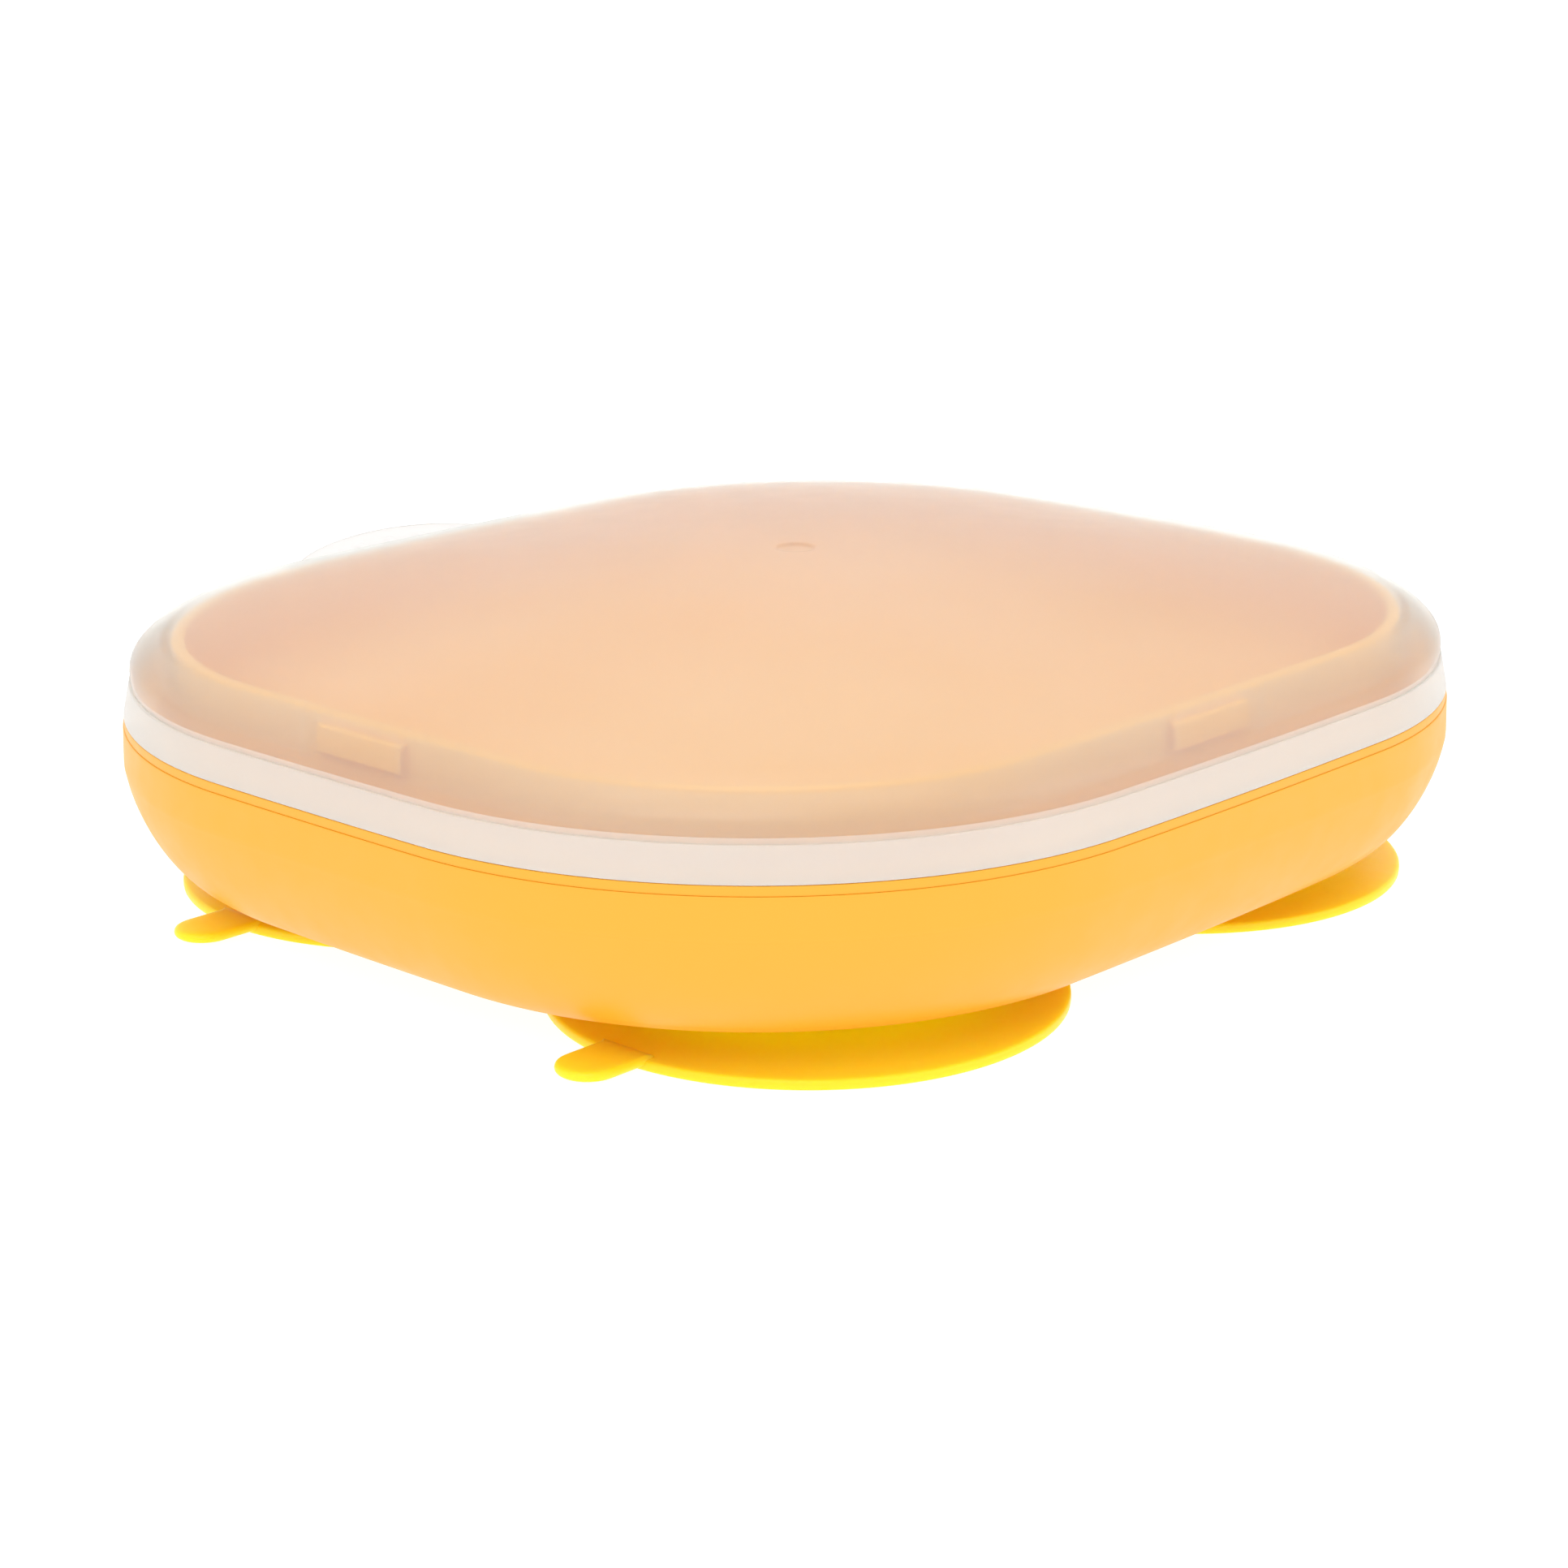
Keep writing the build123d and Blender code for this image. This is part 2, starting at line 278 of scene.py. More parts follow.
def smooth(points: list[tuple[float, float]], steps: int) -> list[tuple[float, float]]:
    """Draw a smooth section through a few points.

    Args:
        points: Points that the section passes through.
        steps: How many pieces each stretch gets.

    Returns:
        The finer section.
    """
    rows = np.array(points)
    ends = np.vstack([2 * rows[0] - rows[1], rows, 2 * rows[-1] - rows[-2]])
    finer = []
    for a, b, c, d in zip(ends, ends[1:], ends[2:], ends[3:]):
        for t in np.arange(steps) / steps:
            curve = 2 * b + (c - a) * t + (2 * a - 5 * b + 4 * c - d) * t**2
            finer.append(tuple((curve + (3 * b - a - 3 * c + d) * t**3) / 2))
    return [*finer, tuple(rows[-1])]


# --------------------------------------------------------------------------------------
# Meshes
# --------------------------------------------------------------------------------------


@dataclass
class Skin:
    """A closed skin, gathered as loops of points from one middle point to another."""

    loops: list[np.ndarray] = field(default_factory=list)
    bands: list[int] = field(default_factory=list)

    def add(self, loop: np.ndarray, band: int = 0) -> None:
        """Add a loop, and the finish number of the strip that leads to it."""
        self.loops.append(loop)
        self.bands.append(band)

    def build(self, name: str, first: Vector, last: Vector, crease: float) -> bpy.types.Object:
        """Turn the loops into one closed mesh.

        Args:
            name: Name of the piece.
            first: Middle point that closes the first loop.
            last: Middle point that closes the last loop.
            crease: Turn between two faces, in degrees, above which the edge stays sharp.

        Returns:
            The new object.
        """
        count = len(self.loops[0])
        points = np.concatenate([*self.loops, [tuple(first), tuple(last)]])
        first_point, last_point = len(points) - 2, len(points) - 1
        faces, numbers = [], []
        for i in range(count):
            j = (i + 1) % count
            faces.append((first_point, j, i))
            numbers.append(self.bands[0])
            tail = (len(self.loops) - 1) * count
            faces.append((last_point, tail + i, tail + j))
            numbers.append(self.bands[-1])
        for k in range(len(self.loops) - 1):
            for i in range(count):
                j = (i + 1) % count
                low, high = k * count, (k + 1) * count
                faces.append((low + i, low + j, high + j, high + i))
                numbers.append(self.bands[k + 1])
        return solid(name, points, faces, numbers, crease)


def solid(
    name: str, points: np.ndarray, faces: list[tuple[int, ...]], numbers: list[int], crease: float
) -> bpy.types.Object:
    """Make an object of a closed mesh, with its faces pointing out and smoothly shaded.

    Args:
        name: Name of the piece.
        points: One (x, y, z) a row.
        faces: Corners of each face.
        numbers: Finish number of each face.
        crease: Turn between two faces, in degrees, above which the edge stays sharp.

    Returns:
        The new object.
    """
    mesh = bpy.data.meshes.new(name)
    mesh.from_pydata([tuple(map(float, p)) for p in points], [], faces)
    mesh.polygons.foreach_set("material_index", numbers)
    work = bmesh.new()
    work.from_mesh(mesh)
    bmesh.ops.recalc_face_normals(work, faces=work.faces)
    work.to_mesh(mesh)
    work.free()
    mesh.shade_smooth()
    mesh.set_sharp_from_angle(angle=radians(crease))
    piece = bpy.data.objects.new(name, mesh)
    bpy.context.scene.collection.objects.link(piece)
    return piece


class Join(Enum):
    """Ways to put two closed meshes together."""

    ADD = "UNION"
    CUT = "DIFFERENCE"


def combine(piece: bpy.types.Object, tool: bpy.types.Object, join: Join, crease: float) -> None:
    """Add a closed mesh to a piece or cut it away, and drop the second object.

    Args:
        piece: The piece that is kept.
        tool: The mesh to add or cut with.
        join: Whether it adds or cuts.
        crease: Turn between two faces, in degrees, above which the edge stays sharp.

    Raises:
        ValueError: If the result is empty or isn't closed.
    """
    step = piece.modifiers.new("combine", "BOOLEAN")
    step.operation = join.value
    step.object = tool
    step.solver = "MANIFOLD"
    bpy.context.view_layer.update()
    result = bpy.data.meshes.new_from_object(
        piece.evaluated_get(bpy.context.evaluated_depsgraph_get())
    )
    piece.modifiers.clear()
    name = piece.data.name
    old = piece.data
    piece.data = result
    bpy.data.meshes.remove(old)
    result.name = name
    result.shade_smooth()
    result.set_sharp_from_angle(angle=radians(crease))
    bpy.data.objects.remove(tool)
    if not closed(result):
        raise ValueError(f"{piece.name} came out of the {join.name} empty or open")


def closed(mesh: bpy.types.Mesh) -> bool:
    """Tell whether a mesh has faces and every edge of it joins exactly two of them.

    Args:
        mesh: The mesh to look at.

    Returns:
        True if it is a closed skin.
    """
    work = bmesh.new()
    work.from_mesh(mesh)
    whole = bool(work.faces) and all(edge.is_manifold for edge in work.edges)
    work.free()
    return whole


# --------------------------------------------------------------------------------------
# Finishes
# --------------------------------------------------------------------------------------


class Board:
    """A material's node board, with short calls to add and wire nodes."""

    NOISE_LOW: ClassVar[float] = 0.3
    NOISE_HIGH: ClassVar[float] = 0.7

    def __init__(self, name: str) -> None:
        """Start a material that has only its output and its main shader.

        Args:
            name: Name of the material.
        """
        self.material = bpy.data.materials.new(name)
        self.material.use_nodes = True
        self.tree = self.material.node_tree
        self.shader = self.tree.nodes["Principled BSDF"]
        self.place = self.add("ShaderNodeTexCoord").outputs["Object"]

    def add(self, kind: str, **values: object) -> bpy.types.Node:
        """Add a node and set its inputs.

        Args:
            kind: Blender's name for the kind of node.
            values: Value of each input, by its name with spaces written as underscores.

        Returns:
            The node.
        """
        node = self.tree.nodes.new(kind)
        for key, value in values.items():
            node.inputs[key.replace("_", " ")].default_value = value
        return node

    def wire(self, source: bpy.types.NodeSocket, target: bpy.types.NodeSocket) -> None:
        """Join an output to an input."""
        self.tree.links.new(source, target)

    def noise(self, scale: float, detail: float = 2.0) -> bpy.types.NodeSocket:
        """Add a noise that is fixed to the object.

        Args:
            scale: Waves in each metre.
            detail: How many finer layers it has.

        Returns:
            Its value, from 0 to 1.
        """
        node = self.add("ShaderNodeTexNoise", Scale=scale, Detail=detail)
        self.wire(self.place, node.inputs["Vector"])
        return node.outputs["Fac"]

    def ranged(self, source: bpy.types.NodeSocket, low: float, high: float) -> bpy.types.NodeSocket:
        """Spread a noise's middle values between two numbers.

        Args:
            source: The noise.
            low: Value at the low end.
            high: Value at the high end.

        Returns:
            The spread value.
        """
        node = self.add("ShaderNodeMapRange", To_Min=low, To_Max=high)
        node.inputs["From Min"].default_value = self.NOISE_LOW
        node.inputs["From Max"].default_value = self.NOISE_HIGH
        self.wire(source, node.inputs["Value"])
        return node.outputs["Result"]

    def tinted(
        self, source: bpy.types.NodeSocket, first: tuple[float, ...], second: tuple[float, ...]
    ) -> bpy.types.NodeSocket:
        """Blend two colours by a value.

        Args:
            source: The value, from 0 to 1.
            first: Colour at 0.
            second: Colour at 1.

        Returns:
            The blended colour.
        """
        node = self.tree.nodes.new("ShaderNodeMix")
        node.data_type = "RGBA"
        colours = [s for s in node.inputs if s.type == "RGBA"]
        colours[0].default_value = (*first, 1)
        colours[1].default_value = (*second, 1)
        self.wire(source, node.inputs[0])
        return next(s for s in node.outputs if s.type == "RGBA")

    def roughen(self, scale: float, roughness: float, spread: float) -> None:
        """Let the roughness wander a little from place to place.

        Args:
            scale: Waves of the change in each metre.
            roughness: Its middle value.
            spread: How far it strays either way.
        """
        rough = self.ranged(self.noise(scale), roughness - spread, roughness + spread)
        self.wire(rough, self.shader.inputs["Roughness"])

    def bump(self, source: bpy.types.NodeSocket, depth: float, strength: float) -> None:
        """Press a value into the surface as fine relief.

        Args:
            source: The relief.
            depth: Its depth in metres.
            strength: Its share of full strength.
        """
        node = self.add("ShaderNodeBump", Distance=depth, Strength=strength)
        self.wire(source, node.inputs["Height"])
        self.wire(node.outputs["Normal"], self.shader.inputs["Normal"])


@dataclass(frozen=True)
class FrostedPlastic:
    """Milky natural polypropylene: rough clear plastic with a share of white in it."""

    name: str
    clear: float
    roughness: float = 0.42
    tint: tuple[float, float, float] = (0.995, 0.99, 0.965)
    cloud: float = 0.015
    grain: float = 1800.0
    bend: float = POLYPROPYLENE_IOR
    gloss: float = 0.0
    relief: float = 0.12
    relief_depth: float = 0.02 * MM
    body: float = 1.0
    coat_roughness: float = 0.3
    cooler: float = 0.985
    spread: float = 0.03
    drift_scale: float = 38.0
    cloud_scale: float = 24.0
    rough_scale: float = 160.0

    def make(self) -> bpy.types.Material:
        """Build the material, with faint clouding and a fine moulded grain.

        Returns:
            The material.
        """
        board = Board(self.name)
        board.shader.inputs["IOR"].default_value = self.bend
        board.shader.inputs["Alpha"].default_value = self.body
        board.shader.inputs["Coat Weight"].default_value = self.gloss
        board.shader.inputs["Coat Roughness"].default_value = self.coat_roughness
        board.shader.inputs["Coat IOR"].default_value = POLYPROPYLENE_IOR
        cooler = tuple(channel * self.cooler for channel in self.tint)
        colour = board.tinted(board.noise(self.drift_scale, 3.0), self.tint, cooler)
        board.wire(colour, board.shader.inputs["Base Color"])
        milk = board.noise(self.cloud_scale, 3.0)
        clear = board.ranged(milk, self.clear - self.cloud, self.clear + self.cloud)
        board.wire(clear, board.shader.inputs["Transmission Weight"])
        board.roughen(self.rough_scale, self.roughness, self.spread)
        board.bump(board.noise(self.grain), self.relief_depth, self.relief)
        return board.material


@dataclass(frozen=True)
class SatinPlastic:
    """Satin moulded polypropylene of one strong colour."""

    name: str
    colour: tuple[float, float, float]
    shade: tuple[float, float, float]
    roughness: float = 0.42
    spread: float = 0.04
    drift_scale: float = 28.0
    rough_scale: float = 220.0
    grain: float = 2600.0
    relief: float = 0.3
    relief_depth: float = 0.015 * MM

    def make(self) -> bpy.types.Material:
        """Build the material, with a slow drift of colour and a fine spark-eroded grain.

        Returns:
            The material.
        """
        board = Board(self.name)
        board.shader.inputs["IOR"].default_value = POLYPROPYLENE_IOR
        drift = board.tinted(board.noise(self.drift_scale, 3.0), self.colour, self.shade)
        board.wire(drift, board.shader.inputs["Base Color"])
        board.roughen(self.rough_scale, self.roughness, self.spread)
        board.bump(board.noise(self.grain), self.relief_depth, self.relief)
        return board.material


@dataclass(frozen=True)
class Silicone:
    """Soft silicone that light scatters through, red further than green and green than blue."""

    name: str
    colour: tuple[float, float, float]
    shade: tuple[float, float, float]
    depth: float = 4.0 * MM
    reach: tuple[float, float, float] = (1.0, 0.6, 0.12)
    shine: float = 0.3
    roughness: float = 0.36
    spread: float = 0.05
    drift_scale: float = 60.0
    rough_scale: float = 400.0
    grain: float = 3000.0
    relief: float = 0.25
    relief_depth: float = 0.01 * MM

    def make(self) -> bpy.types.Material:
        """Build the material, with light scattered under its skin and a fine grain.

        Returns:
            The material.
        """
        board = Board(self.name)
        board.shader.inputs["IOR"].default_value = SILICONE_IOR
        board.shader.inputs["Specular IOR Level"].default_value = self.shine
        board.shader.inputs["Subsurface Weight"].default_value = 1.0
        board.shader.inputs["Subsurface Radius"].default_value = self.reach
        board.shader.inputs["Subsurface Scale"].default_value = self.depth
        drift = board.tinted(board.noise(self.drift_scale, 3.0), self.colour, self.shade)
        board.wire(drift, board.shader.inputs["Base Color"])
        board.roughen(self.rough_scale, self.roughness, self.spread)
        board.bump(board.noise(self.grain), self.relief_depth, self.relief)
        return board.material


def dress(piece: bpy.types.Object, *materials: bpy.types.Material) -> None:
    """Give a piece its materials, in the order of its faces' finish numbers.

    Args:
        piece: The piece to dress.
        materials: Its materials, the one for finish number 0 first.
    """
    numbers = [face.material_index for face in piece.data.polygons]
    piece.data.materials.clear()
    for material in materials:
        piece.data.materials.append(material)
    piece.data.polygons.foreach_set("material_index", numbers)


def settle(piece: bpy.types.Object, body: str, node: str) -> None:
    """Hang a finished piece on its body, in place of a node of the frame.

    Args:
        piece: The finished piece.
        body: The body that it moves with.
        node: The node that it stands for.
    """
    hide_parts(node)
    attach(piece, body)
    log.info("%s: %d faces, on %s", piece.name, len(piece.data.polygons), body)


# --------------------------------------------------------------------------------------
# Shared sizes
# --------------------------------------------------------------------------------------


@dataclass(frozen=True)
class Bench:
    """Plans, heights and stations that every sub-assembly shares, worked out from the frame."""

    rim: Plan
    mouth: Plan
    stations: Stations
    shell_bottom: float
    shell_top: float
    flange_top: float
    skirt_bottom: float
    step: float
    rim_top: float
    lid_top: float
    BOW: ClassVar[float] = 1300 * MM
    RIM_CORNER: ClassVar[float] = 62.2 * MM
    MOUTH_CORNER: ClassVar[float] = 49 * MM
    MOUTH_INSET: ClassVar[float] = 7.7 * MM
    FLANGE_WALL: ClassVar[float] = 1.3 * MM
    SKIRT_HEIGHT: ClassVar[float] = 4.6 * MM
    PITCH: ClassVar[float] = 1.6 * MM

    @classmethod
    def from_frame(cls) -> "Bench":
        """Take the sizes from the frame's boxes.

        Returns:
            The shared sizes.
        """
        liner_low, liner_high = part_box("bowl_liner")
        shell_low, shell_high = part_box("outer_shell")
        lid_low, lid_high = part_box("lid")
        rim = Plan(liner_high.x, liner_high.y, cls.RIM_CORNER, cls.BOW)
        half_length = rim.half_length - cls.MOUTH_INSET
        half_width = rim.half_width - cls.MOUTH_INSET
        mouth = Plan(half_length, half_width, cls.MOUTH_CORNER, cls.BOW)
        marks = [LinerSizes.lug_half, LidSizes.notch_half, LidSizes.notch_half + LidSizes.rib]
        return cls(
            rim=rim,
            mouth=mouth,
            stations=Stations.around(rim, marks, cls.PITCH),
            shell_bottom=shell_low.z,
            shell_top=shell_high.z,
            flange_top=shell_high.z + cls.FLANGE_WALL,
            skirt_bottom=lid_low.z,
            step=lid_low.z + cls.SKIRT_HEIGHT,
            rim_top=liner_high.z,
            lid_top=lid_high.z,
        )


@dataclass(frozen=True)
class LinerSizes:
    """Sizes of the inner bowl: its face is set out from the mouth's outline, its spigot's
    from the rim's, and a minus sign means inward.
    """

    face: float = -1.5 * MM
    wall: float = 2.0 * MM
    draft: float = 0.9 * MM
    curve: float = 20.0 * MM
    curve_steps: int = 20
    dish_wall: float = 2.0 * MM
    floor: float = 13.4 * MM
    rim_round: float = 0.8 * MM
    rim_steps: int = 6
    flange_edge: float = 0.15 * MM
    spigot_face: float = -2.0 * MM
    spigot_wall: float = 1.4 * MM
    spigot_depth: float = 1.5 * MM
    lug_half: float = 8.2 * MM
    lug_height: float = 3.8 * MM
    lug_proud: float = 1.1 * MM
    lug_below_rim: float = 1.4 * MM
    lug_soft: float = 0.3 * MM
    lug_round: tuple[float, float] = (0.72, 0.3)


@dataclass(frozen=True)
class LidSizes:
    """Sizes of the lid. Offsets are from the rim's outline, and a minus sign means inward."""

    wall: float = 1.2 * MM
    skirt_lean: float = 0.95 * MM
    ledge: float = 0.4 * MM
    side_rise: float = 1.7 * MM
    side_bulge: float = 0.2 * MM
    side_middle: tuple[float, float] = (0.7, 0.5)
    shoulder_rise: float = 8.16 * MM
    shoulder_run: float = 34.1 * MM
    shoulder_power: float = 2.2
    shoulder_turn: float = 45.0
    shoulder_steps: int = 14
    under_edge: float = -4.2 * MM
    ring_wall: float = 1.2 * MM
    ring_drop: float = 5.6 * MM
    notch_half: float = 8.6 * MM
    notch_below_rim: float = 1.0 * MM
    rib: float = 1.4 * MM
    rib_proud: float = 0.8 * MM
    edge: float = 0.22 * MM
    foot_edge: float = 0.06 * MM
    gate_radius: float = 2.8 * MM
    gate_depth: float = 0.3 * MM
    crease: float = 38.0


# --------------------------------------------------------------------------------------
# Lid
# --------------------------------------------------------------------------------------


@dataclass
class Lid:
    """The frosted lid: skirt, stepped shoulder, shallow dome, inner ring and pull tab."""

    bench: Bench
    size: LidSizes = LidSizes()
    dome_shares: tuple[float, ...] = tuple(np.linspace(0.97, 0.13, 22))
    OUTSIDE: ClassVar[int] = 0
    SKIRT: ClassVar[int] = 1
    INSIDE: ClassVar[int] = 2

    def build(self) -> None:
        """Build the lid and its pull tab, dress them and hang them on the lid's body."""
        shell = self.shell()
        top = FrostedPlastic(
            "frosted_lid_top", clear=0.80, bend=1.04, roughness=0.32, gloss=0.7,
            tint=(0.945, 0.985, 0.955),
        )
        # The skirt is the same plastic as the top. Its greyer, warmer tint is painted shade,
        # standing in for the shade of the hollow behind the band.
        skirt = FrostedPlastic(
            "frosted_lid_skirt_painted_shade", clear=0.50, bend=1.15, gloss=0.5, tint=(0.885, 0.86, 0.81)
        )
        inside = FrostedPlastic(
            "frosted_lid_inside", clear=0.92, bend=1.03, roughness=0.32, relief=0.0, body=0.40
        )
        dress(shell, top.make(), skirt.make(), inside.make())
        settle(shell, "lid", "lid")
        tab = PullTab(self.bench, self.size).build()
        dress(tab, FrostedPlastic(
            "frosted_lid_tab", clear=0.78, roughness=0.33, bend=1.10, tint=(0.83, 0.815, 0.80)
        ).make())
        settle(tab, "lid", "lid")

    def side(self) -> list[tuple[float, float]]:
        """Give the outer section from the step up to where the dome starts.

        Returns:
            Points as (offset, height), lowest first.
        """
        size, step = self.size, self.bench.step
        foot = -size.skirt_lean - size.ledge
        start = foot + size.side_bulge
        over, up = size.side_middle
        points = [(foot, step), (foot + over * size.side_bulge, step + up * size.side_rise)]
        power = 2 / size.shoulder_power
        for turn in np.linspace(0, size.shoulder_turn, size.shoulder_steps):
            offset = start - size.shoulder_run * (1 - cos(radians(turn)) ** power)
            rise = size.side_rise + size.shoulder_rise * sin(radians(turn)) ** power
            points.append((offset, step + rise))
        return points

    def dome(self, skin: Skin, edge: tuple[float, float], top: float, outward: bool) -> None:
        """Add the shallow dome's loops.

        Args:
            skin: The skin to add to.
            edge: Offset and height of the loop that the dome stands on.
            top: Height of the dome's middle.
            outward: Whether the loops run from the middle out, or from the edge in.
        """
        ring = self.bench.stations.loop(*edge)
        loops = []
        for share in self.dome_shares:
            loop = ring * (share, share, 1)
            loop[:, 2] = top - (top - edge[1]) * share**2
            loops.append(loop)
        if outward:
            loops.reverse()
        for loop in loops:
            skin.add(loop, self.OUTSIDE if outward else self.INSIDE)

    def gate(self, skin: Skin, top: float) -> None:
        """Add the round dimple that moulding leaves at the middle of the lid.

        Args:
            skin: The skin to add to.
            top: Height of the lid's middle.
        """
        size = self.size
        angles = np.arctan2(self.bench.stations.base[:, 1], self.bench.stations.base[:, 0])
        rings = [(0.5, 1.0), (0.86, 1.0), (0.93, 0.6), (1.0, 0.1), (1.25, 0.0)]
        for share, depth in rings:
            radius = size.gate_radius * share
            flat = np.column_stack([np.cos(angles) * radius, np.sin(angles) * radius])
            skin.add(np.column_stack([flat, np.full(len(flat), top - size.gate_depth * depth)]))

    def shell(self) -> bpy.types.Object:
        """Build the lid's body as one closed skin, outside first and then the underside.

        Returns:
            The lid's body.
        """
        bench, size = self.bench, self.size
        place = bench.stations
        skin = Skin()
        outer = self.side()
        self.gate(skin, bench.lid_top)
        self.dome(skin, outer[-1], bench.lid_top, outward=True)
        for offset, height in reversed(outer[1:]):
            skin.add(place.loop(offset, height))
        for offset, height in self.skirt_section():
            skin.add(place.loop(offset, height), self.SKIRT)
        inner = moved_in(outer, size.wall)
        self.underside(skin, inner)
        self.dome(skin, inner[-1], bench.lid_top - size.wall, outward=False)
        return skin.build(
            "lid_shell",
            Vector((0, 0, bench.lid_top - size.gate_depth)),
            Vector((0, 0, bench.lid_top - size.wall)),
            size.crease,
        )

    def skirt_section(self) -> list[tuple[float, float]]:
        """Give the section over the ledge, down the skirt, round its foot and up inside.

        Returns:
            Points as (offset, height), in that order.
        """
        bench, size = self.bench, self.size
        foot = (-size.skirt_lean - size.ledge, bench.step)
        ledge = (-size.skirt_lean, bench.step)
        outer = (0.0, bench.skirt_bottom)
        inner = (-size.wall, bench.skirt_bottom)
        above = (-size.skirt_lean - size.wall, bench.step)
        section = [foot]
        section += rounded(foot, ledge, outer, size.edge)
        section += rounded(ledge, outer, inner, size.foot_edge)
        section += rounded(outer, inner, above, size.edge)
        return section + [above]

    def underside(self, skin: Skin, inner: list[tuple[float, float]]) -> None:
        """Add the inside of the shoulder and the ring that plugs the bowl's mouth.

        Args:
            skin: The skin to add to.
            inner: Section of the shoulder's inside, lowest first.
        """
        bench, size = self.bench, self.size
        place = bench.stations
        rows = np.array(inner[2:])
        order = np.argsort(rows[:, 0])

        def under(offset: np.ndarray) -> np.ndarray:
            """Height of the underside at each offset."""
            return np.interp(offset, rows[order, 0], rows[order, 1])

        along = place.along()
        notch = along < size.notch_half
        ribbed = (along > size.notch_half) & (along < size.notch_half + size.rib)
        face = place.offsets_to(bench.mouth, 0.0) + np.where(ribbed, size.rib_proud, 0.0)
        back = place.offsets_to(bench.mouth, -size.ring_wall)
        low = np.where(
            notch, bench.rim_top - size.notch_below_rim, bench.rim_top - size.ring_drop
        )
        for offset, height in inner[1:]:
            if offset > size.under_edge:
                skin.add(place.loop(offset, height), self.INSIDE)
        start = np.full(len(face), size.under_edge)
        for share in (0.35, 0.7, 1.0):
            reach = start + (face - start) * share
            skin.add(place.loop(reach, under(reach)), self.INSIDE)
        skin.add(place.loop(face, low + size.edge), self.INSIDE)
        skin.add(place.loop(face - size.edge, low), self.INSIDE)
        skin.add(place.loop(back + size.edge, low), self.INSIDE)
        skin.add(place.loop(back, low + size.edge), self.INSIDE)
        end = np.full(len(back), inner[-1][0])
        for share in (0.0, 0.5, 1.0):
            reach = back + (end - back) * share
            skin.add(place.loop(reach, under(reach)), self.INSIDE)


@dataclass
class PullTab:
    """The thin thumb tab at the middle of the lid's +Y side, tilted up and ribbed on top."""

    bench: Bench
    lid: LidSizes
    half_width: float = 26.0 * MM
    reach: float = 13.5 * MM
    root: float = 1.2 * MM
    tilt: float = 20.0
    wall: float = 1.3 * MM
    below_step: float = 0.5 * MM
    ribs: int = 7
    pitch: float = 6.2 * MM
    rib_width: float = 2.0 * MM
    rib_height: float = 0.5 * MM
    rib_flank: float = 0.25
    rib_start: float = 0.06
    rib_end: float = 0.82
    rib_fade: float = 0.08
    span: float = 0.999
    crowding: float = 1.3
    edge_round: float = 0.45
    edge_left: float = 0.02
    columns: int = 180
    rows: int = 26
    crease: float = 60.0

    def relief(self, x: float, share: float) -> float:
        """Height of the ribs over the tab's face.

        Args:
            x: Place across the tab.
            share: Place from the root, 0, to the edge, 1.

        Returns:
            The height, in metres.
        """
        middle = (self.ribs - 1) / 2
        nearest = min(abs(x - (i - middle) * self.pitch) for i in range(self.ribs))
        flank = self.rib_flank * self.rib_width
        across = min(max((self.rib_width / 2 - nearest) / flank + 0.5, 0), 1)
        fading = min(max((self.rib_end - share) / self.rib_fade, 0), 1)
        lengthwise = fading * min(share / self.rib_start, 1)
        return self.rib_height * across * across * (3 - 2 * across) * lengthwise

    def build(self) -> bpy.types.Object:
        """Build the tab as a closed plate with softly rounded edges.

        Returns:
            The tab, in place on the lid.
        """
        top, bottom = [], []
        span = self.half_width * self.span
        for i in range(self.columns + 1):
            x = -span * cos(pi * i / self.columns)
            edge = self.reach * sqrt(1 - (x / self.half_width) ** 2)
            for j in range(self.rows + 1):
                share = 1 - (1 - j / self.rows) ** self.crowding
                y = -self.root + (edge + self.root) * share
                inset = min((edge - y) / (self.edge_round * self.wall), 1.0)
                ease = sqrt(max(1 - (1 - inset) ** 2, 0.0))
                half = self.wall / 2 * max(ease, self.edge_left)
                top.append((x, y, self.wall / 2 + half + self.relief(x, share)))
                bottom.append((x, y, self.wall / 2 - half))
        points, wide = np.array(top + bottom), self.rows + 1
        under = len(top)
        faces = []
        for i in range(self.columns):
            for j in range(self.rows):
                a, b = i * wide + j, (i + 1) * wide + j
                faces.append((a, b, b + 1, a + 1))
                faces.append((under + a, under + a + 1, under + b + 1, under + b))
            for j in (0, self.rows):
                a, b = i * wide + j, (i + 1) * wide + j
                faces.append((a, b, under + b, under + a))
        for i in (0, self.columns):
            for j in range(self.rows):
                a = i * wide + j
                faces.append((a, a + 1, under + a + 1, under + a))
        lean = radians(self.tilt)
        x, y, z = points.T
        y0 = self.bench.rim.half_width - self.lid.skirt_lean
        z0 = self.bench.step - self.wall - self.below_step
        placed = np.column_stack(
            [x, y0 + y * cos(lean) - z * sin(lean), z0 + y * sin(lean) + z * cos(lean)]
        )
        return solid("lid_pull_tab", placed, faces, [0] * len(faces), self.crease)


# --------------------------------------------------------------------------------------
# Bowl
# --------------------------------------------------------------------------------------


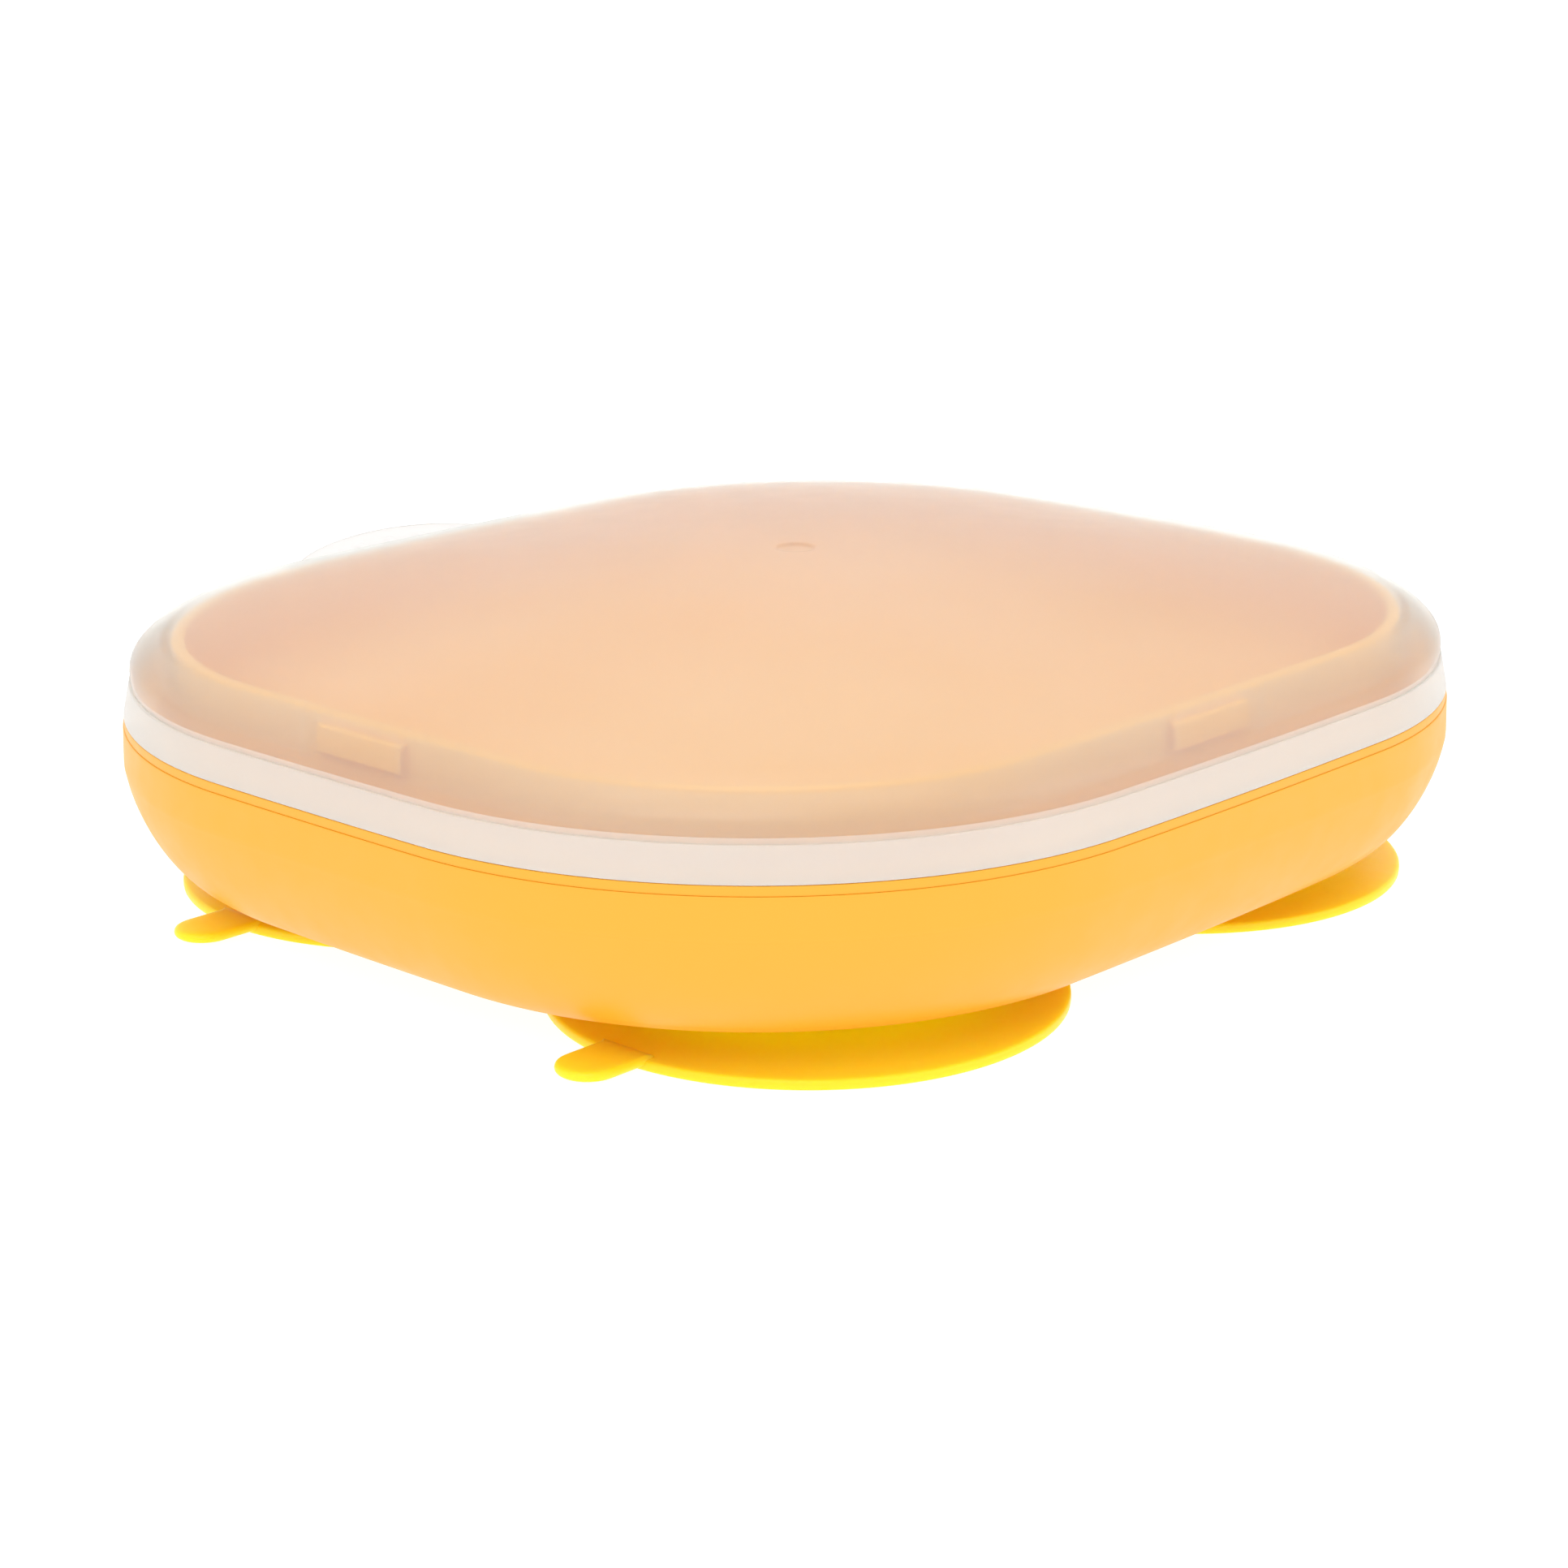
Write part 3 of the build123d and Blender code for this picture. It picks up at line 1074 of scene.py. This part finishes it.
@dataclass
class Bowl:
    """The two-walled bowl: the liner with its dish, rim and flange, and the outer shell."""

    bench: Bench
    liner_size: LinerSizes = LinerSizes()
    crease: float = 38.0
    shell_wall: float = 2.0 * MM
    bulge: float = 0.3 * MM
    bulge_below_top: float = 4.8 * MM
    undercut: float = 8.7 * MM
    belly_power: float = 1.53
    belly_foot: float = 0.8 * MM
    belly_turns: tuple[int, ...] = (84, 76, 68, 60, 52, 44, 36, 27, 18, 9, 0)
    foot_points: tuple[tuple[float, float], ...] = ((2.0, 0.0), (1.0, 0.1), (0.35, 0.55))
    finer: int = 3
    shell_top_step: float = 0.15 * MM
    shell_edge: float = 0.15 * MM
    stem_hole: float = 5.08 * MM
    hole_reach: float = 3.0 * MM
    hole_facets: int = 64
    hole_crease: float = 30.0
    floor_shares: tuple[float, ...] = (0.1, 0.3, 0.5, 0.7, 0.86)

    def build(self, stems: list[tuple[float, float]]) -> None:
        """Build both walls, dress them and hang them on the bowl's body.

        Args:
            stems: Places of the four cup stems.
        """
        plastic = SatinPlastic(
            "satin_orange", colour=(0.875, 0.408, 0.025), shade=(0.863, 0.396, 0.023)
        ).make()
        liner = self.liner()
        dress(liner, plastic)
        settle(liner, "bowl", "bowl_liner")
        shell = self.shell(stems)
        dress(shell, plastic)
        settle(shell, "bowl", "outer_shell")

    def floor(self, skin: Skin, edge: np.ndarray, outward: bool) -> None:
        """Add loops that close a flat floor inside a loop.

        Args:
            skin: The skin to add to.
            edge: The loop round the floor.
            outward: Whether the loops run from the middle out, or from the edge in.
        """
        shares = self.floor_shares if outward else self.floor_shares[::-1]
        for share in shares:
            skin.add(edge * (share, share, 1))

    def dish(self, inset: float, low: float) -> list[tuple[float, float]]:
        """Give the dish's section, lowest first.

        Args:
            inset: Distance inside the rim's outer face.
            low: Height of the dish's floor on that side of the wall.

        Returns:
            Points as (offset from the mouth's outline, height).
        """
        size, top = self.liner_size, self.bench.shell_top
        points = []
        for turn in np.linspace(90, 0, size.curve_steps):
            across = size.draft + size.curve * (1 - cos(radians(turn)))
            points.append((size.face - inset - across, top - (top - low) * sin(radians(turn))))
        return points

    def liner(self) -> bpy.types.Object:
        """Build the inner bowl as one closed skin, inside first and then the underside.

        Returns:
            The inner bowl.
        """
        bench, size = self.bench, self.liner_size
        place = bench.stations
        skin = Skin()

        def mouth(offset: float) -> np.ndarray:
            """Offsets at which the stations reach a distance from the mouth's outline."""
            return place.offsets_to(bench.mouth, offset)

        inside = self.dish(size.wall, size.floor)
        self.floor(skin, place.loop(mouth(inside[0][0]), inside[0][1]), outward=True)
        for offset, height in inside:
            skin.add(place.loop(mouth(offset), height))
        inner_foot, inner_top = inside[-1], (size.face - size.wall, bench.rim_top)
        outer_top, outer_foot = (size.face, bench.rim_top), (size.face, bench.flange_top)
        section = rounded(inner_foot, inner_top, outer_top, size.rim_round, size.rim_steps)
        section += rounded(inner_top, outer_top, outer_foot, size.rim_round, size.rim_steps)
        for offset, height in section:
            skin.add(place.loop(mouth(offset), height))
        self.lugs(skin, mouth(size.face))
        skin.add(place.loop(mouth(size.face), bench.flange_top + size.flange_edge))
        skin.add(place.loop(mouth(size.face + size.flange_edge), bench.flange_top))
        self.flange(skin)
        underneath = self.dish(0.0, size.floor - size.dish_wall)
        for offset, height in reversed(underneath):
            skin.add(place.loop(mouth(offset), height))
        self.floor(skin, skin.loops[-1], outward=False)
        return skin.build(
            "bowl_inner_dish",
            Vector((0, 0, size.floor)),
            Vector((0, 0, size.floor - size.dish_wall)),
            self.crease,
        )

    def lugs(self, skin: Skin, face: np.ndarray) -> None:
        """Add the four snap lugs that stand out of the rim at the middle of its sides.

        Args:
            skin: The skin to add to.
            face: Offset of the rim's outer face at each station.
        """
        size, place = self.liner_size, self.bench.stations
        proud = np.where(place.along() < size.lug_half, size.lug_proud, 0.0)
        high = self.bench.rim_top - size.lug_below_rim
        low = high - size.lug_height
        out, drop = size.lug_round
        rise = drop * size.lug_soft
        for share, height in (
            (0.0, high), (out, high - rise), (1.0, high - size.lug_soft),
            (1.0, low + size.lug_soft), (out, low + rise), (0.0, low),
        ):
            skin.add(place.loop(face + proud * share, height))

    def flange(self, skin: Skin) -> None:
        """Add the flange that the lid stands on and the spigot that enters the shell.

        Args:
            skin: The skin to add to.
        """
        bench, size = self.bench, self.liner_size
        edge_high, edge_low = (0.0, bench.flange_top), (0.0, bench.shell_top)
        start = (size.spigot_face, bench.flange_top)
        spigot_high = (size.spigot_face, bench.shell_top)
        spigot_low = bench.shell_top - size.spigot_depth
        section = rounded(start, edge_high, edge_low, size.flange_edge)
        section += rounded(edge_high, edge_low, spigot_high, size.flange_edge)
        section += [
            spigot_high,
            (size.spigot_face, spigot_low),
            (size.spigot_face - size.spigot_wall, spigot_low),
            (size.spigot_face - size.spigot_wall, bench.shell_top),
        ]
        for offset, height in section:
            skin.add(bench.stations.loop(offset, height))

    def belly(self) -> list[tuple[float, float]]:
        """Give the shell's outer section, smooth from its foot to its top.

        Returns:
            Points as (offset, height), lowest first.
        """
        bottom, top = self.bench.shell_bottom, self.bench.shell_top
        bulge_height = top - self.bulge_below_top
        depth = bulge_height - bottom - self.belly_foot
        run = self.bulge + self.undercut
        points = [
            (-self.undercut - inward * run, bottom + up * self.belly_foot)
            for inward, up in self.foot_points
        ]
        power = 2 / self.belly_power
        for turn in self.belly_turns:
            across = cos(radians(turn)) ** power
            down = sin(radians(turn)) ** power
            points.append((self.bulge - run * (1 - across), bulge_height - depth * down))
        points.append((self.shell_top_step, top))
        return smooth(points, self.finer)

    def shell(self, stems: list[tuple[float, float]]) -> bpy.types.Object:
        """Build the outer shell, with a hole over each cup for its stem.

        Args:
            stems: Places of the four cup stems.

        Returns:
            The shell.
        """
        bench, place = self.bench, self.bench.stations
        skin = Skin()
        outside = self.belly()
        inside = moved_in(outside, self.shell_wall)
        inside[0] = (inside[0][0], bench.shell_bottom + self.shell_wall)
        corner = outside[-1]
        inner_corner = (self.shell_top_step - self.shell_wall, bench.shell_top)
        inside = [point for point in inside if point[1] < bench.shell_top - 2 * self.shell_edge]
        self.floor(skin, place.loop(*outside[0]), outward=True)
        section = outside[:-1]
        section += rounded(outside[-2], corner, inner_corner, self.shell_edge)
        section += rounded(corner, inner_corner, inside[-1], self.shell_edge)
        section += inside[::-1]
        for offset, height in section:
            skin.add(place.loop(offset, height))
        self.floor(skin, skin.loops[-1], outward=False)
        shell = skin.build(
            "bowl_outer_shell",
            Vector((0, 0, bench.shell_bottom)),
            Vector((0, 0, bench.shell_bottom + self.shell_wall)),
            self.crease,
        )
        middle = bench.shell_bottom + self.shell_wall / 2
        low, high = middle - self.hole_reach, middle + self.hole_reach
        profile = [(0, low), (self.stem_hole, low), (self.stem_hole, high), (0, high)]
        for stem in stems:
            tool = turned("stem_hole", profile, stem, self.hole_facets, self.hole_crease)
            combine(shell, tool, Join.CUT, self.crease)
        return shell


# --------------------------------------------------------------------------------------
# Suction cups
# --------------------------------------------------------------------------------------


def turned(
    name: str,
    section: list[tuple[float, float]],
    middle: tuple[float, float],
    count: int,
    crease: float,
) -> bpy.types.Object:
    """Turn a section round an upright axis into a closed piece.

    Args:
        name: Name of the piece.
        section: Points as (radius, height), both ends on the axis.
        middle: Place of the axis.
        count: How many facets go round.
        crease: Turn between two faces, in degrees, above which the edge stays sharp.

    Returns:
        The piece.
    """
    angles = np.arange(count) / count * tau
    skin = Skin()
    for radius, height in section[1:-1]:
        flat = np.column_stack([np.cos(angles), np.sin(angles)]) * radius + middle
        skin.add(np.column_stack([flat, np.full(count, height)]))
    ends = [Vector((*middle, section[i][1])) for i in (0, -1)]
    return skin.build(name, ends[0], ends[1], crease)


@dataclass
class SuctionCup:
    """One silicone cup: thin skirt, hub, stem with a mushroom head, and a pull tongue."""

    name: str
    middle: tuple[float, float]
    radius: float
    outward: int
    top: float
    tongue_length: float
    lip: float = 1.4 * MM
    lip_flat: float = 2.6 * MM
    hollow: float = 2.6 * MM
    skirt_top: float = 3.6 * MM
    hub: float = 9.0 * MM
    hub_top: float = 5.7 * MM
    stem: float = 5.0 * MM
    stem_top: float = 8.3 * MM
    head: float = 7.2 * MM
    head_edge: float = 0.5 * MM
    tip: float = 4.6 * MM
    tongue_width: float = 8.5 * MM
    tongue_wall: float = 1.3 * MM
    tongue_raise: float = 0.6 * MM
    tongue_root: float = 0.75
    edge: float = 0.5 * MM
    under_middle: tuple[float, float] = (0.62, 0.78)
    under_gap: float = 0.12 * MM
    under_step: float = 0.4 * MM
    finer: int = 5
    facets: int = 144
    crease: float = 50.0

    @classmethod
    def from_node(cls, node: str) -> "SuctionCup":
        """Read a cup's place and radius from its box in the frame.

        Args:
            node: The cup's node.

        Returns:
            The cup, not built yet.
        """
        low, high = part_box(node)
        radius = (high.y - low.y) / 2
        outward = -1 if abs(low.x) > abs(high.x) else 1
        x = high.x - radius if outward < 0 else low.x + radius
        length = high.x - low.x - 2 * radius
        return cls(node, (x, (low.y + high.y) / 2), radius, outward, high.z, length)

    def section(self) -> list[tuple[float, float]]:
        """Give the cup's turned section, from under its middle, round the lip and up the stem.

        Returns:
            Points as (radius, height), both ends on the axis.
        """
        flat_start = self.radius - self.lip_flat
        out, up = self.under_middle
        under = smooth(
            [
                (self.hub, self.hollow),
                (self.radius * out, self.hollow * up),
                (flat_start, self.under_gap),
            ],
            self.finer,
        )
        lip_low, lip_high = (self.radius, 0.0), (self.radius, self.lip)
        fall = smooth(
            [
                (self.radius - 1.6 * MM, self.lip + 0.06 * MM),
                (self.radius * 0.72, self.lip + 0.75 * MM),
                (self.hub + 3.0 * MM, self.skirt_top),
                (self.hub + 0.5 * MM, self.hub_top - 0.7 * MM),
            ],
            self.finer,
        )
        points = [(0.0, self.hollow), (self.hub / 2, self.hollow), *under]
        points.append((flat_start + self.under_step, 0.0))
        points += rounded(points[-1], lip_low, lip_high, self.edge)
        points += rounded(lip_low, lip_high, fall[0], self.edge)
        points += fall
        points += [(self.hub - 0.2 * MM, self.hub_top), (self.stem, self.hub_top)]
        points += [(self.stem, self.stem_top), (self.head, self.stem_top)]
        points += [(self.head, self.stem_top + self.head_edge), (self.tip, self.top)]
        points.append((0.0, self.top))
        return points

    def tongue(self) -> bpy.types.Object:
        """Build the rounded tongue that is pulled to let air in.

        Returns:
            The tongue, in place.
        """
        half = self.tongue_width / 2
        near = self.radius - self.tongue_root * self.lip_flat
        far = self.radius + self.tongue_length - half
        arc = [(far + half * sin(t), -half * cos(t)) for t in np.linspace(0, pi, 33)]
        root = [(x, half) for x in np.linspace(far, near, 8)[1:]]
        outline = np.array(arc + root + [(x, -y) for x, y in reversed(root)])
        step = np.roll(outline, -1, axis=0) - np.roll(outline, 1, axis=0)
        normal = np.column_stack([step[:, 1], -step[:, 0]])
        normal /= np.linalg.norm(normal, axis=1)[:, None]
        skin = Skin()
        middle = np.array([(near + far) / 2, 0.0])
        soft = self.tongue_wall / 2
        for share in (0.4, 0.8):
            flat = middle + (outline - normal * soft - middle) * share
            skin.add(self._placed(flat, 0.0))
        for turn in np.linspace(-pi / 2, pi / 2, 9):
            flat = outline - normal * soft * (1 - cos(turn))
            skin.add(self._placed(flat, soft + soft * sin(turn)))
        for share in (0.8, 0.4):
            flat = middle + (outline - normal * soft - middle) * share
            skin.add(self._placed(flat, self.tongue_wall))
        ends = [Vector(self._placed(middle[None, :], z)[0]) for z in (0.0, self.tongue_wall)]
        return skin.build("tongue", ends[0], ends[1], self.crease)

    def _placed(self, flat: np.ndarray, rise: float) -> np.ndarray:
        """Move points of the tongue's plan to their place in the world.

        Args:
            flat: Places in the tongue's plan, one (x, y) a row.
            rise: Height above the tongue's underside.

        Returns:
            One (x, y, z) a row.
        """
        x = self.middle[0] + self.outward * flat[:, 0]
        y = self.middle[1] + flat[:, 1]
        return np.column_stack([x, y, np.full(len(flat), self.tongue_raise + rise)])

    def build(self, silicone: bpy.types.Material) -> None:
        """Build the cup, dress it and hang it on its own body.

        Args:
            silicone: The finish that all cups share.
        """
        short = self.name.replace("suction_", "")
        cup = turned(short, self.section(), self.middle, self.facets, self.crease)
        combine(cup, self.tongue(), Join.ADD, self.crease)
        dress(cup, silicone)
        settle(cup, short, self.name)


# --------------------------------------------------------------------------------------
# Studio
# --------------------------------------------------------------------------------------


@dataclass(frozen=True)
class Studio:
    """A bright white studio: pale floor, even light all round and three soft boxes."""

    azimuth: float = -47.46
    elevation: float = 16.59
    distance: float = 481.8 * MM
    target: tuple[float, float, float] = (-1.11 * MM, 1.21 * MM, 12.42 * MM)
    lens: float = 75.79
    sensor: float = 36.0
    clip_end: float = 20.0
    floor_half: float = 3.0
    floor_drop: float = 0.05 * MM
    floor_grey: float = 0.3
    floor_roughness: float = 0.9
    floor_glow: float = 0.93
    sky: float = 1.0
    box_side: float = 0.9
    boxes: tuple[tuple[str, tuple[float, float, float], float], ...] = (
        ("key_light", (-0.9, -0.5, 1.1), 4.5),
        ("top_light", (0.0, 0.0, 1.2), 2.5),
        ("fill_light", (0.7, -1.0, 0.9), 2.0),
    )

    def build(self) -> None:
        """Set up the floor, the light and the camera."""
        self.surround()
        self.floor()
        for name, place, power in self.boxes:
            self.soft_box(name, place, power)
        self.camera()

    def surround(self) -> None:
        """Light the scene evenly from all round."""
        scene = bpy.context.scene
        scene.view_settings.view_transform = "Standard"
        scene.world = bpy.data.worlds.new("studio")
        scene.world.use_nodes = True
        background = scene.world.node_tree.nodes["Background"]
        background.inputs["Color"].default_value = (1, 1, 1, 1)
        background.inputs["Strength"].default_value = self.sky

    def floor(self) -> None:
        """Lay the pale floor, bright enough that the object throws hardly any shadow."""
        half = self.floor_half
        mesh = bpy.data.meshes.new("floor")
        corners = [(-half, -half, 0), (half, -half, 0), (half, half, 0), (-half, half, 0)]
        mesh.from_pydata(corners, [], [(0, 1, 2, 3)])
        floor = bpy.data.objects.new("floor", mesh)
        floor.location.z = -self.floor_drop
        bpy.context.scene.collection.objects.link(floor)
        board = Board("studio_floor")
        shader = board.shader
        shader.inputs["Base Color"].default_value = (*[self.floor_grey] * 3, 1)
        shader.inputs["Roughness"].default_value = self.floor_roughness
        shader.inputs["Emission Color"].default_value = (1, 1, 1, 1)
        shader.inputs["Emission Strength"].default_value = self.floor_glow
        mesh.materials.append(board.material)

    def soft_box(self, name: str, place: tuple[float, float, float], power: float) -> None:
        """Hang a square soft light that faces the bowl.

        Args:
            name: Name of the light.
            place: Where it hangs.
            power: Its power in watts.
        """
        light = bpy.data.lights.new(name, "AREA")
        light.size = self.box_side
        light.energy = power
        lamp = bpy.data.objects.new(name, light)
        lamp.location = place
        lamp.rotation_euler = (-Vector(place)).to_track_quat("-Z", "Y").to_euler()
        bpy.context.scene.collection.objects.link(lamp)

    def camera(self) -> None:
        """Place the camera low and in front of one corner of the bowl."""
        a, e = radians(self.azimuth), radians(self.elevation)
        back = Vector((sin(a) * cos(e), -cos(a) * cos(e), sin(e)))
        data = bpy.data.cameras.new("camera")
        data.lens = self.lens
        data.sensor_width = self.sensor
        data.clip_end = self.clip_end
        camera = bpy.data.objects.new("camera", data)
        camera.location = Vector(self.target) + back * self.distance
        camera.rotation_euler = back.to_track_quat("Z", "Y").to_euler()
        bpy.context.scene.collection.objects.link(camera)
        bpy.context.scene.camera = camera


def main() -> None:
    """Build the studio and the object."""
    logging.basicConfig(level=logging.INFO, format="%(message)s")
    Studio().build()
    bench = Bench.from_frame()
    cups = [SuctionCup.from_node(n) for n in sorted(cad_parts) if n.startswith("suction_cup")]
    Lid(bench).build()
    Bowl(bench).build([cup.middle for cup in cups])
    silicone = Silicone(
        "orange_silicone", colour=(1.0, 0.68, 0.030), shade=(1.0, 0.665, 0.027)
    ).make()
    for cup in cups:
        cup.build(silicone)


if __name__ == "__main__":
    main()
